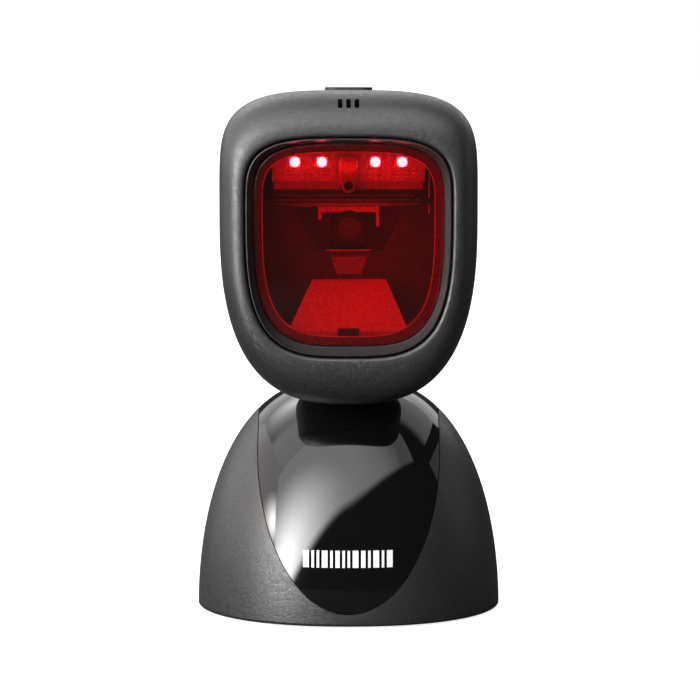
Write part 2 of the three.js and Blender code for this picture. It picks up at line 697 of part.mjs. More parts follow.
// A flat disc with the dome's squarish plan.
function planDisc(reach, from, to) {
  const shape = new THREE.Shape(
    Array.from({ length: AROUND }, (_, i) => {
      const angle = (2 * Math.PI * i) / AROUND;
      return new THREE.Vector2(
        reach * power(Math.cos(angle), 2 / STAND_SQUARE),
        reach * power(Math.sin(angle), 2 / STAND_SQUARE),
      );
    }),
  );
  return prism(shape, "xy", from, to);
}

function basePlate() {
  const holes = BASE_SCREWS.map(([, x, y]) =>
    joined(rod(3, 2.2, "z", [x, y, 1.1]), rod(1.5, 4, "z", [x, y, 2])),
  );
  return cut(planDisc(39, 1.2, 4.6), planDisc(30.3, 1, 2), ...holes);
}

// ---------------------------------------------------------------- assembly
const scanner = new THREE.Group();

function add(name, solid, material, group = scanner) {
  const mesh = new THREE.Mesh(toGeometry(solid), material);
  mesh.name = name;
  group.add(mesh);
}

const stand = new THREE.Group();
add("rubber_pad", planDisc(30, 0, 1.7), rubberBlack, stand);
add("base_plate", basePlate(), matteBlack, stand);
add("ballast_block", box([-21, -20, 4.9], [21, 20, 13]), steel, stand);
add("base_shell", baseShell(), matteBlack, stand);
add("gloss_inlay", glossInlay(), glossBlack, stand);
add("neck_post", neckPost(), innerBlack, stand);
for (const [name, x, y] of BASE_SCREWS) add(name, screw(2.5, 1.4, 1.1, 9, "z", [x, y, 1.5]), steel, stand);
for (const [suffix, side] of SIDES) {
  const start = [side * NECK_SCREW_X, TILT_Y, 51.3];
  add(`neck_screw_${suffix}`, screw(2.6, 1.9, 1.1, 6, "z", start), steel, stand);
}

const head = new THREE.Group();
add("front_bezel", frontBezel(), matteBlack, head);
add("rear_shell", rearShell(), matteBlack, head);
add("window_frame", windowFrame(), matteBlack, head);
add("scan_window", scanWindow(), redFilter, head);
add("window_gasket", windowGasket(), rubberBlack, head);
add("optics_shroud", opticsShroud(), innerBlack, head);
add("imager_hood", imagerHood(), innerBlack, head);
add("lower_reflector", lowerReflector(), lightGrey, head);
add("aimer_lens", aimerLens(), clearPlastic, head);
add("imager_holder", imagerHolder(), innerBlack, head);
add("imager_lens", imagerLens(), innerBlack, head);
add("lens_glass", lensGlass(), clearPlastic, head);
add("led_board", ledBoard(), boardGreen, head);
LAMPS.forEach((x, k) => add(`led_${k + 1}`, led(x), lampRed, head));
add("led_bracket", ledBracket(), innerBlack, head);
add("sensor_lens", sensorLens(), clearPlastic, head);
add("sensor_screw", screw(1.1, 0.9, 0.6, 8, "y", [0, -34.2, SENSOR_SCREW_Z]), steel, head);
add("main_board", mainBoard(), boardGreen, head);
add("decoder_chip", box([-7, 6.4, 104], [7, 7.8, 118]), innerBlack, head);
add("interface_jack", interfaceJack(), innerBlack, head);
add("top_board", topBoard(), boardGreen, head);
add("beeper", beeper(), innerBlack, head);
add("switch_body", switchBody(), innerBlack, head);
for (const [suffix, side] of SIDES) {
  const [topX, topY] = TOP_BOARD_SCREW;
  const caseStart = [side * CASE_SCREW[0], -9.7, CASE_SCREW[1]];
  add(`case_screw_${suffix}`, screw(2.2, 2, 0.7, 10, "y", caseStart, true), steel, head);
  const shroudStart = [side * SHROUD_SCREW[0], -35.6, SHROUD_SCREW[1]];
  add(`shroud_screw_${suffix}`, screw(1.7, 1.2, 0.7, 6.5, "y", shroudStart, true), steel, head);
  const boardStart = [side * BOARD_SCREW_X, 2.9, BOARD_SCREW_Z];
  add(`main_board_screw_${suffix}`, screw(2, 1.3, 0.85, 7, "y", boardStart), steel, head);
  add(`top_board_screw_${suffix}`, screw(1.7, 1.1, 0.7, 5, "z", [side * topX, topY, 133.4]), steel, head);
  const yokeStart = [side * YOKE_SCREW_X, YOKE_SCREW_Y, YOKE_PLATE_LOW - 6.5];
  add(`yoke_screw_${suffix}`, screw(2.3, 1.5, 0.85, 8, "z", yokeStart, true), steel, head);
  const washerX = side > 0 ? 7.3 : -8.3;
  add(`friction_washer_${suffix}`, washer(4, BORE_R, 1, "x", [washerX, TILT_Y, TILT_Z]), rubberBlack, head);
}
add("tilt_yoke", tiltYoke(), steel, head);
add("tilt_axle", tiltAxle(), steel, head);
add("spring_washer", washer(3.2, 1.8, 0.5, "x", [10.1, TILT_Y, TILT_Z]), steel, head);
add("axle_nut", axleNut(), steel, head);

const button = new THREE.Group();
add("top_button", topButton(), matteBlack, button);
add("switch_plunger", switchPlunger(), innerBlack, button);

head.add(button);
scanner.add(stand, head);

export default scanner;
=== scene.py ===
import math

import bmesh
import bpy
from mathutils import Matrix, Vector
from mathutils.bvhtree import BVHTree
from mathutils.interpolate import poly_3d_calc


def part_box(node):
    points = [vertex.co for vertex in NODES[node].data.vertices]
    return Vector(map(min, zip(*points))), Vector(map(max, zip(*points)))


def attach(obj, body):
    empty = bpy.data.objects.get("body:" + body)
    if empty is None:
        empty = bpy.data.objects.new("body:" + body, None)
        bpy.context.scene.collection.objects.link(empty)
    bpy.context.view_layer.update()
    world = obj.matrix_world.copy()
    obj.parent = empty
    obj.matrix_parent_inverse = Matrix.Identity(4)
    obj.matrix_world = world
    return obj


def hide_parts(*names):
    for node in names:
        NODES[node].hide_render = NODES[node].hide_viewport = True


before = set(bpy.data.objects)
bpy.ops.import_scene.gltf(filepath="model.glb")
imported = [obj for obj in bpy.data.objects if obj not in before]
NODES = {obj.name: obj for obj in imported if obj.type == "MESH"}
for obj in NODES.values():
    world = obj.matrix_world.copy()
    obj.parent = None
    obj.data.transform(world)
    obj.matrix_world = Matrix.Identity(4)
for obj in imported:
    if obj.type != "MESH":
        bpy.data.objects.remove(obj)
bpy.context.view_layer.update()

MM = 0.001

# ---------------------------------------------------------------- driving dimensions (mm)
STAND_HALF = 42.5
STAND_TOP = 63.5
STAND_FOOT = 0.6
STAND_WALL = 2.8
STAND_ROUND = 2.7
STAND_SQUARE = 2.2
INLAY_HALF = 25
INLAY_SHOULDER = 47
INLAY_TIP = 4
INLAY_THICK = 1
INLAY_POCKET = 1.3
INLAY_EDGE_GAP = 0.25
INLAY_TAIL_Y = 8
INLAY_TAIL_REACH = 20
BAR_WIDTHS = (1.6, 0.7, 0.7, 1.6, 0.7, 1.2, 0.7, 0.7, 1.6, 1.2, 0.7, 1.6, 0.7, 1.6)
BAR_GAP = 0.7
BAR_LEFT = -12.4
BAR_LOW = 16.6
BAR_HIGH = 21.2
PRINT_THICK = 0.02

FRONT_Y = -42.4
SEAM_Y = -30
SEAM_GAP = 0.4
BACK_Y = 26
BACK_Z = 106
HEAD_WALL = 2.2
HEAD_ROUND = 2.2
UNDERSIDE_RISE = 9.5
UNDERSIDE_RUN = 11
TILT_Y = 2
TILT_Z = 78
LIP_END_Y = -36.5
BACK_EXPONENT = 2.3

HEAD_OUTLINE = {"z": 112.9, "a": 35.1, "up": 32.6, "down": 52.8, "side": 3.4, "top": 5, "low": 2.75}
OPENING = {"z": 114.8, "a": 28.15, "up": 18.7, "down": 41, "side": 3.6, "top": 3.6, "low": 3.4}
WINDOW = {"z": 114.4, "a": 25.5, "up": 16.9, "down": 37.4, "side": 3.6, "top": 3.6, "low": 3.6}

WINDOW_FRONT_Y = -37.8
WINDOW_BACK_Y = -35.8
SEAT_Y = WINDOW_BACK_Y + 1
SEAT_THICK = 1.4
FLANGE_INSET = 2.3

BUTTON_Y = -19.5
JACK_HALF_X = 6.6
JACK_LOW = 84
JACK_HIGH = 94.6
LAMP_Z = 126.2
LAMPS = (-14.4, -7.2, 7.2, 14.4)
SENSOR_SCREW_Z = 119.9
IMAGER_Z = 106.4
CASE_SCREW = (19.5, 92)
CASE_WELL_R = 2.6

# Openings as half width, half depth and corner radius.
NECK_HOLE = (7.6, 6.1, 2)
NECK_SLOT = (8.6, 9.8, 3)
BUTTON_HOLE = (6.8, 4.3, 3.3)
SLOT_HOLE = (0.65, 1.75, 0.62)
SLOT_PITCH = 2.25
SLOT_Y = -38.9
SLOT_Z = 142.2
SLOT_LEAN = 40
JACK_GAP = 0.6

# How finely curves are divided.
AROUND = 240
HOLLOW_AROUND = 96
ARC_STEPS = 96
DOME_STEPS = 72
CORNER_STEPS = 8

# The farthest a face may lie from a remembered surface and still count as part of it (m).
SKIN_REACH = 0.00004


# ---------------------------------------------------------------- shape helpers
def power(value, exponent):
    return math.copysign(abs(value) ** exponent, value)


def mix(a, b, t):
    return a + (b - a) * t


def mix_outlines(a, b, t):
    return {key: mix(a[key], b[key], t) for key in a}


def inset(outline, distance):
    return {
        **outline,
        "a": outline["a"] - distance,
        "up": outline["up"] - distance,
        "down": outline["down"] - distance,
    }


def head_ring(outline, y, count=AROUND):
    ring = []
    for i in range(count):
        angle = 2 * math.pi * i / count
        c, s = math.cos(angle), math.sin(angle)
        above = s >= 0
        x = outline["a"] * power(c, 2 / (outline["side"] if above else outline["low"]))
        reach = outline["up"] if above else outline["down"]
        z = outline["z"] + reach * power(s, 2 / (outline["top"] if above else outline["low"]))
        ring.append((x, y, z))
    return ring


def loft(rings, wraps=False, caps=True):
    """Vertices and faces of a surface through rings of points."""
    count = len(rings[0])
    verts = [p for ring in rings for p in ring]
    faces = []
    for k in range(len(rings) if wraps else len(rings) - 1):
        here, after = k * count, ((k + 1) % len(rings)) * count
        for i in range(count):
            j = (i + 1) % count
            faces.append((here + i, here + j, after + j, after + i))
    if not wraps and caps:
        faces.append(tuple(reversed(range(count))))
        last = (len(rings) - 1) * count
        faces.append(tuple(range(last, last + count)))
    return verts, faces


def new_mesh(name, verts, faces, smooth=True):
    """A mesh object from millimetre vertices, with its faces turned outwards."""
    mesh = bpy.data.meshes.new(name)
    mesh.from_pydata([Vector(v) * MM for v in verts], [], faces)
    bm = bmesh.new()
    bm.from_mesh(mesh)
    bmesh.ops.recalc_face_normals(bm, faces=bm.faces)
    bm.to_mesh(mesh)
    bm.free()
    if smooth:
        mesh.shade_smooth()
    obj = bpy.data.objects.new(name, mesh)
    bpy.context.scene.collection.objects.link(obj)
    return obj


def sharpen(obj, degrees):
    """Marks edges over an angle as sharp, so flats stay flat and curves stay smooth."""
    bm = bmesh.new()
    bm.from_mesh(obj.data)
    limit = math.radians(degrees)
    for edge in bm.edges:
        edge.smooth = len(edge.link_faces) == 2 and edge.calc_face_angle(0) < limit
    bm.to_mesh(obj.data)
    bm.free()


BOX_FACES = ((0, 2, 3, 1), (4, 5, 7, 6), (0, 1, 5, 4), (2, 6, 7, 3), (0, 4, 6, 2), (1, 3, 7, 5))


def join_boxes(name, boxes):
    """One mesh of boxes, each given by two opposite corners."""
    verts, faces = [], []
    for (x0, y0, z0), (x1, y1, z1) in boxes:
        first = len(verts)
        verts += [(x, y, z) for z in (z0, z1) for y in (y0, y1) for x in (x0, x1)]
        faces += [tuple(first + corner for corner in face) for face in BOX_FACES]
    return new_mesh(name, verts, faces, smooth=False)


def turned(name, profile, axis, start, segments=48):
    """A round solid from radius and distance pairs along an axis from a start point."""
    along = {"x": (1, 0, 0), "y": (0, 1, 0), "z": (0, 0, 1)}[axis]
    side = {"x": (0, 1, 0), "y": (0, 0, 1), "z": (1, 0, 0)}[axis]
    along, side = Vector(along), Vector(side)
    third = along.cross(side)
    start = Vector(start)
    rings = []
    for r, t in profile:
        ring = []
        for i in range(segments):
            angle = 2 * math.pi * i / segments
            spoke = side * math.cos(angle) + third * math.sin(angle)
            ring.append(tuple(start + along * t + spoke * r))
        rings.append(ring)
    verts, faces = loft(rings)
    return new_mesh(name, verts, faces)


def rod(name, radius, length, axis, start):
    return turned(name, [(radius, 0), (radius, length)], axis, start)


def rounded_rectangle(half_u, half_v, radius, centre_u=0, centre_v=0):
    points = []
    corners = ((1, -1, -90), (1, 1, 0), (-1, 1, 90), (-1, -1, 180))
    for su, sv, first in corners:
        for k in range(CORNER_STEPS + 1):
            angle = math.radians(first + 90 * k / CORNER_STEPS)
            u = centre_u + su * (half_u - radius) + radius * math.cos(angle)
            v = centre_v + sv * (half_v - radius) + radius * math.sin(angle)
            points.append((u, v))
    return points


def prism(name, points, plane, low, high):
    """A straight solid from a flat outline laid in a plane of two axes."""
    place = {
        "xz": lambda u, v, t: (u, t, v),
        "xy": lambda u, v, t: (u, v, t),
        "yz": lambda u, v, t: (t, u, v),
    }[plane]
    rings = [[place(u, v, t) for u, v in points] for t in (low, high)]
    verts, faces = loft(rings)
    return new_mesh(name, verts, faces, smooth=False)


def apply_modifiers(obj):
    """Applies the object's modifiers to its own mesh."""
    depsgraph = bpy.context.evaluated_depsgraph_get()
    mesh = bpy.data.meshes.new_from_object(obj.evaluated_get(depsgraph))
    obj.modifiers.clear()
    obj.data = mesh


def combine(obj, tools, operation="DIFFERENCE"):
    """Cuts or joins other solids, then removes them."""
    for tool in tools:
        step = obj.modifiers.new("combine", "BOOLEAN")
        step.operation = operation
        step.object = tool
        step.solver = "EXACT"
    apply_modifiers(obj)
    for tool in tools:
        bpy.data.objects.remove(tool)
    return obj


class Skin:
    """Remembers a smooth surface, so its shading can be put back after holes are cut in it."""

    def __init__(self, obj):
        mesh = obj.data
        self.points = [v.co.copy() for v in mesh.vertices]
        self.normals = [v.normal.copy() for v in mesh.vertices]
        self.polygons = [tuple(p.vertices) for p in mesh.polygons]
        self.tree = BVHTree.FromPolygons(self.points, self.polygons)

    def normal_at(self, point):
        place, _, index, _ = self.tree.find_nearest(point)
        corners = self.polygons[index]
        weights = poly_3d_calc([self.points[c] for c in corners], place)
        total = Vector()
        for weight, corner in zip(weights, corners):
            total += self.normals[corner] * weight
        return total.normalized()

    def restore(self, obj):
        """Shades what is left of the surface smoothly and everything else flat."""
        mesh = obj.data
        mesh.shade_smooth()
        normals = [None] * len(mesh.loops)
        loops = mesh.loops
        for polygon in mesh.polygons:
            near = self.tree.find_nearest(polygon.center)
            on_skin = near[3] < SKIN_REACH and abs(near[1].dot(polygon.normal)) > 0.9
            for index in polygon.loop_indices:
                if on_skin:
                    vertex = mesh.vertices[loops[index].vertex_index]
                    normals[index] = self.normal_at(vertex.co)
                else:
                    normals[index] = polygon.normal.copy()
        mesh.normals_split_custom_set([tuple(n) for n in normals])


def dress(obj, material, body, *replaced, slot=None):
    """Gives a piece its material and the body it moves with."""
    obj.data.materials.clear()
    obj.data.materials.append(material)
    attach(obj, body)
    if replaced:
        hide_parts(*replaced)


# ---------------------------------------------------------------- materials
class Nodes:
    """A short way to build a material's node tree."""

    def __init__(self, name):
        self.material = bpy.data.materials.new(name)
        self.material.use_nodes = True
        self.tree = self.material.node_tree
        self.shader = self.tree.nodes["Principled BSDF"]
        self.coordinates = self.tree.nodes.new("ShaderNodeTexCoord").outputs["Object"]

    def set(self, **values):
        for name, value in values.items():
            self.shader.inputs[name.replace("_", " ")].default_value = value

    def node(self, kind, settings=None, **inputs):
        made = self.tree.nodes.new(kind)
        for key, value in (settings or {}).items():
            setattr(made, key, value)
        for key, value in inputs.items():
            socket = made.inputs[key.replace("_", " ")]
            if isinstance(value, bpy.types.NodeSocket):
                self.tree.links.new(value, socket)
            else:
                socket.default_value = value
        return made

    def noise(self, scale, detail=2.0, roughness=0.5):
        return self.node(
            "ShaderNodeTexNoise", Vector=self.coordinates, Scale=scale, Detail=detail,
            Roughness=roughness,
        ).outputs["Fac"]

    def ramp(self, factor, stops):
        made = self.node("ShaderNodeValToRGB", Fac=factor)
        elements = made.color_ramp.elements
        while len(elements) < len(stops):
            elements.new(0.5)
        for element, (position, color) in zip(elements, stops):
            element.position = position
            element.color = (*color, 1)
        return made.outputs["Color"]

    def range(self, factor, low, high, from_low=0.0, from_high=1.0):
        return self.node(
            "ShaderNodeMapRange", Value=factor, From_Min=from_low, From_Max=from_high,
            To_Min=low, To_Max=high,
        ).outputs["Result"]

    def bump(self, height, strength, distance, below=None):
        made = self.node("ShaderNodeBump", Height=height, Strength=strength, Distance=distance)
        if below is not None:
            self.tree.links.new(below, made.inputs["Normal"])
        return made.outputs["Normal"]

    def link(self, output, name):
        self.tree.links.new(output, self.shader.inputs[name])


ROUGHNESS_SPREAD = 0.1


def tones(color, *factors):
    """The colour at several brightnesses."""
    return [[c * factor for c in color] for factor in factors]


def grained(name, color, roughness, grain=3800, depth=0.00002, fleck=0.35, shine=0.5):
    """Moulded plastic with a fine spark-eroded grain and faint flow marks."""
    n = Nodes(name)
    fine = n.noise(grain, 2.0, 0.6)
    coarse = n.noise(grain * 0.4, 3.0, 0.6)
    cloud = n.noise(60, 4.0, 0.6)
    dark, light = tones(color, 1 - fleck, 1 + fleck)
    tint = n.ramp(fine, [(0.3, dark), (0.7, light)])
    shade = n.node("ShaderNodeMix", {"data_type": "RGBA", "blend_type": "MULTIPLY"})
    shade.inputs[0].default_value = 0.35
    n.tree.links.new(tint, shade.inputs[6])
    n.tree.links.new(n.ramp(cloud, [(0.3, (0.75, 0.75, 0.75)), (0.7, (1, 1, 1))]), shade.inputs[7])
    n.link(shade.outputs[2], "Base Color")
    low, high = roughness - ROUGHNESS_SPREAD, roughness + ROUGHNESS_SPREAD
    n.link(n.range(coarse, low, high, 0.3, 0.7), "Roughness")
    n.set(Specular_IOR_Level=shine)
    wide = n.bump(coarse, 0.6, depth * 1.6)
    n.link(n.bump(fine, 0.8, depth, wide), "Normal")
    return n.material


def polished(name, color, roughness):
    """Polished plastic with the finest haze and dust of a handled surface."""
    n = Nodes(name)
    haze = n.noise(260, 5.0, 0.65)
    n.set(Coat_Weight=0.4, Coat_Roughness=0.02)
    n.link(n.range(haze, roughness, roughness * 1.8, 0.35, 0.75), "Roughness")
    dust = n.noise(1500, 2.0)
    n.link(n.ramp(dust, [(0.4, color), (0.75, tones(color, 1.5)[0])]), "Base Color")
    return n.material


def metal(name, color, roughness, scratch=900):
    """Bare or plated metal with fine scratches."""
    n = Nodes(name)
    n.set(Metallic=1.0)
    fine = n.noise(scratch, 4.0, 0.7)
    n.link(n.ramp(fine, [(0.3, tones(color, 0.8)[0]), (0.7, color)]), "Base Color")
    n.link(n.range(fine, roughness * 0.8, roughness * 1.3, 0.3, 0.7), "Roughness")
    n.link(n.bump(fine, 0.4, 0.00001), "Normal")
    return n.material


def red_filter():
    """Deep red clear plastic with a trace of haze, and a faint pink glow painted in by emission."""
    n = Nodes("red_filter")
    # The emission paints a faint pink glow onto the pane, which is no lamp.
    n.set(
        Base_Color=(0.92, 0.012, 0.018, 1), IOR=1.49, Transmission_Weight=1.0,
        Specular_IOR_Level=0.5, Emission_Color=(1, 0.75, 0.8, 1), Emission_Strength=0.0025,
    )
    n.link(n.range(n.noise(900, 3.0), 0.0, 0.012, 0.45, 0.8), "Roughness")
    return n.material


def glowing(name, color, strength):
    """A lit lamp dome, slightly uneven. Its blue-green light reads white through the red window."""
    n = Nodes(name)
    n.set(Base_Color=(*color, 1), Roughness=0.3, Emission_Strength=strength)
    patches = n.noise(1600, 1.0)
    n.link(n.ramp(patches, [(0.2, tones(color, 0.85)[0]), (0.8, color)]), "Emission Color")
    return n.material


shell_black = grained(
    "shell_black", (0.015, 0.0148, 0.0158), 0.42, grain=2000, depth=0.00007, fleck=0.6, shine=0.8,
)
ring_black = grained("ring_black", (0.012, 0.0125, 0.012), 0.45, grain=2600, depth=0.00003, fleck=0.5)
inner_black = grained("inner_black", (0.03, 0.02, 0.02), 0.55, grain=3000)
optics_black = grained("optics_black", (0.02, 0.018, 0.018), 0.5, grain=3000)
hood_grey = grained("hood_grey", (0.05, 0.032, 0.032), 0.5, grain=3000)
border_red = grained("border_red", (0.085, 0.05, 0.045), 0.6, grain=2400)
# Pale pink: the board traces' colour, and a painted highlight on the gasket's inner edge and the clip's
# uprights.
pale_trace_and_painted_highlight = grained("pale_trace_and_painted_highlight", (0.75, 0.42, 0.42), 0.4, grain=1500, depth=0.00001)
# Pale: the lamp packages' colour, and painted glare and a painted highlight inside the imager funnel.
pale_package_and_painted_glare = grained("pale_package_and_painted_glare", (0.72, 0.5, 0.5), 0.35, grain=1500, depth=0.00001)
part_tan = grained("part_tan", (0.30, 0.22, 0.14), 0.45, grain=2400, depth=0.00001)
# Pale red painted light: the lamps' light laid onto the black bracket's ledge and ribs.
ledge_painted_red_light = grained("ledge_painted_red_light", (0.24, 0.12, 0.12), 0.5, grain=2400)
aimer_frost = grained("aimer_frost", (0.17, 0.09, 0.09), 0.4, grain=2000, depth=0.00001)
screw_black = metal("blackened_steel", (0.05, 0.048, 0.05), 0.35)
chip_black = grained("chip_black", (0.018, 0.018, 0.02), 0.4, grain=2600, depth=0.00001, fleck=0.15)
hinge_black = grained("hinge_black", (0.014, 0.014, 0.015), 0.45)
inlay_gloss = polished("inlay_gloss", (0.0022, 0.0022, 0.0024), 0.018)
rubber = grained("rubber", (0.012, 0.012, 0.012), 0.85, grain=1800, depth=0.00004)
# Red painted light: the lamps' red glow is laid into the lamp board's colour.
board = grained("board_painted_red_light", (0.35, 0.10, 0.10), 0.35, grain=1500, depth=0.00001)
board_green = grained("board_green", (0.012, 0.07, 0.03), 0.35, grain=1500, depth=0.00001)
reflector_grey = grained("reflector_grey", (0.42, 0.35, 0.35), 0.5, grain=1600)
steel = metal("zinc_steel", (0.62, 0.62, 0.64), 0.3)
iron = metal("cast_iron", (0.25, 0.25, 0.26), 0.55, 500)
filter_red = red_filter()
optic = polished("coated_glass", (0.012, 0.008, 0.02), 0.03)
sensor_clear = polished("sensor_clear", (0.26, 0.13, 0.14), 0.14)
lamp_red = glowing("lamp_red", (0.36, 1.0, 0.92), 130)
button_black = grained("button_black", (0.012, 0.014, 0.013), 0.5, grain=2600)
print_white = grained("print_white", (0.75, 0.75, 0.74), 0.45, grain=2200, depth=0.00001, fleck=0.05)
pad_tin = metal("pad_tin", (0.85, 0.85, 0.85), 0.35)


# ---------------------------------------------------------------- stand
def dome_ring(z, wall):
    """The dome's outline at a height, inside a wall."""
    top = STAND_TOP - wall
    shrink = max(1 - (z / top) ** 2, 0) ** (1 / STAND_ROUND)
    reach = (STAND_HALF - wall) * shrink
    ring = []
    for i in range(AROUND):
        angle = 2 * math.pi * i / AROUND
        x = reach * power(math.cos(angle), 2 / STAND_SQUARE)
        y = reach * power(math.sin(angle), 2 / STAND_SQUARE)
        ring.append((x, y, z))
    return ring


def dome(name, wall, bottom):
    """The dome shrunk by a wall, as a closed solid from a height up."""
    top = STAND_TOP - wall
    shares = [math.sin(math.pi / 2 * k / DOME_STEPS) for k in range(DOME_STEPS)]
    heights = [max(top * share, bottom) for share in shares]
    heights = [z for k, z in enumerate(heights) if k == 0 or z > heights[k - 1] + 1e-6]
    rings = [dome_ring(z, wall) for z in heights] + [dome_ring(top * 0.99995, wall)]
    verts, faces = loft(rings)
    return new_mesh(name, verts, faces)


def inlay_region(name, grow):
    """The solid that marks where the inlay lies: a tongue in front and a rounded end behind."""
    half = INLAY_HALF + grow
    front = [(half, 90), (-half, 90)]
    for k in range(ARC_STEPS + 1):
        angle = math.pi + math.pi * k / ARC_STEPS
        reach = INLAY_SHOULDER - INLAY_TIP + grow
        front.append((half * math.cos(angle), INLAY_SHOULDER + reach * math.sin(angle)))
    tongue = prism(name, front, "xz", -60, 0.5)
    back = [(-half, 0), (half, 0)]
    for k in range(ARC_STEPS + 1):
        angle = math.pi * k / ARC_STEPS
        reach = INLAY_TAIL_REACH + grow
        back.append((half * math.cos(angle), INLAY_TAIL_Y + reach * math.sin(angle)))
    tail = prism(name + "_tail", back, "xy", 30, 90)
    return combine(tongue, [tail], "UNION")


def neck_opening(name):
    return prism(name, rounded_rectangle(*NECK_HOLE, 0, TILT_Y), "xy", 50, 70)


def make_base_shell():
    shell = dome("base_shell_skin", 0, STAND_FOOT)
    skin = Skin(shell)
    inside = dome("inside", STAND_WALL, 0)
    pocket = combine(inlay_region("pocket", INLAY_EDGE_GAP), [dome("floor", INLAY_POCKET, -1)])
    combine(shell, [inside, pocket, neck_opening("neck_hole")])
    skin.restore(shell)
    dress(shell, shell_black, "stand", "base_shell", slot="matte_black_shell")


def make_inlay():
    inlay = dome("gloss_inlay_skin", 0, STAND_FOOT)
    skin = Skin(inlay)
    combine(inlay, [inlay_region("region", 0)], "INTERSECT")
    combine(inlay, [dome("under", INLAY_THICK, -1), neck_opening("neck_hole")])
    skin.restore(inlay)
    dress(inlay, inlay_gloss, "stand", "gloss_inlay", slot="gloss_black_inlay")


make_base_shell()
make_inlay()


# ---------------------------------------------------------------- head shells
CREST = inset(OPENING, -0.8)
CREST_INNER = inset(OPENING, -1.8)


def bulge(crest, crest_y, edge, steps):
    """Outlines that swell from the window's crest back to the seam."""
    rings = []
    for k in range(steps + 1):
        angle = math.pi / 2 * k / steps
        out = math.sin(angle) ** (2 / HEAD_ROUND)
        forward = max(math.cos(angle), 0) ** (2 / HEAD_ROUND)
        rings.append((mix_outlines(crest, edge, out), mix(SEAM_Y, crest_y, forward)))
    return rings


def make_bezel():
    outer = bulge(CREST, FRONT_Y, HEAD_OUTLINE, 30)
    outer[-1] = (inset(HEAD_OUTLINE, 0.02), SEAM_Y - 0.25)
    rounding = [(inset(HEAD_OUTLINE, 0.1), SEAM_Y - 0.07), (inset(HEAD_OUTLINE, 0.3), SEAM_Y)]
    inner = bulge(CREST_INNER, FRONT_Y + HEAD_WALL, inset(HEAD_OUTLINE, HEAD_WALL), 14)[::-1]
    lip = [
        (CREST_INNER, LIP_END_Y),
        (OPENING, LIP_END_Y),
        (OPENING, FRONT_Y + 0.7),
        (inset(OPENING, -0.12), FRONT_Y + 0.3),
        (inset(OPENING, -0.4), FRONT_Y + 0.06),
    ]
    rings = [head_ring(o, y) for o, y in outer + rounding + inner + lip]
    verts, faces = loft(rings, wraps=True)
    bezel = new_mesh("front_bezel_skin", verts, faces)
    skin = Skin(bezel)
    tools = []
    for column in (-1, 0, 1):
        tool = prism("slot", rounded_rectangle(*SLOT_HOLE), "xy", -4, 4)
        tool.data.transform(Matrix.Rotation(math.radians(SLOT_LEAN), 4, "X"))
        place = Vector((column * SLOT_PITCH, SLOT_Y, SLOT_Z))
        tool.data.transform(Matrix.Translation(place * MM))
        tools.append(tool)
    combine(bezel, tools)
    skin.restore(bezel)
    dress(bezel, shell_black, "head", "front_bezel", slot="matte_black_shell")


def rear_outline(share, wall):
    """The rear shell's outline and depth at a share of the way from the seam to the back."""
    back = BACK_Y - wall
    y = mix(SEAM_Y + SEAM_GAP, back, share)
    rise = UNDERSIDE_RISE * (1 - math.exp((SEAM_Y - y) / UNDERSIDE_RUN))
    underside = HEAD_OUTLINE["z"] - HEAD_OUTLINE["down"] + rise
    top = HEAD_OUTLINE["z"] + HEAD_OUTLINE["up"]
    close_top = max(1 - share ** 2.6, 0) ** (1 / 2.2)
    close_low = max(1 - share ** 4, 0) ** (1 / 2.5)
    close_side = max(1 - share ** 2.8, 0) ** (1 / 2.2)
    highest = BACK_Z + (top - wall - BACK_Z) * close_top
    lowest = BACK_Z - (BACK_Z - underside - wall) * close_low
    z = mix(HEAD_OUTLINE["z"], BACK_Z, share ** 2)
    spread = share ** 3
    outline = {
        "z": z,
        "a": (HEAD_OUTLINE["a"] - wall) * close_side,
        "up": highest - z,
        "down": z - lowest,
        "side": mix(HEAD_OUTLINE["side"], BACK_EXPONENT, spread),
        "top": mix(HEAD_OUTLINE["top"], BACK_EXPONENT, spread),
        "low": mix(HEAD_OUTLINE["low"], BACK_EXPONENT, spread),
    }
    return outline, y


def rear_rings(wall, steps):
    shares = [math.sin(math.pi / 2 * k / steps) for k in range(steps)] + [0.99999]
    return [rear_outline(share, wall) for share in shares]


def make_rear_shell():
    outer = rear_rings(0, 56)
    first, y = outer[0]
    rounding = [(inset(first, 0.3), y), (inset(first, 0.1), y + 0.07), (inset(first, 0.02), y + 0.25)]
    outer = rounding + [ring for ring in outer[1:] if ring[1] > y + 0.4]
    verts, faces = loft([head_ring(o, d) for o, d in outer])
    shell = new_mesh("rear_shell_skin", verts, faces)
    skin = Skin(shell)
    room = rear_rings(HEAD_WALL, 24)
    room = [(room[0][0], SEAM_Y - 1)] + room
    verts, faces = loft([head_ring(o, d, HOLLOW_AROUND) for o, d in room])
    hollow = new_mesh("hollow", verts, faces)
    case_x, case_z = CASE_SCREW
    mid, half = (JACK_LOW + JACK_HIGH) / 2, (JACK_HIGH - JACK_LOW) / 2 + JACK_GAP
    jack = rounded_rectangle(JACK_HALF_X + JACK_GAP, half, 1.2, 0, mid)
    tools = [
        hollow,
        prism("neck_slot", rounded_rectangle(*NECK_SLOT, 0, TILT_Y), "xy", 60, TILT_Z + 3),
        prism("jack_hole", jack, "xz", 12, 40),
        prism("button_hole", rounded_rectangle(*BUTTON_HOLE, 0, BUTTON_Y), "xy", 138, 150),
    ]
    tools += [rod("well", CASE_WELL_R, 60, "y", (side * case_x, 0, case_z)) for side in (-1, 1)]
    combine(shell, tools)
    skin.restore(shell)
    dress(shell, shell_black, "head", "rear_shell", slot="matte_black_shell")


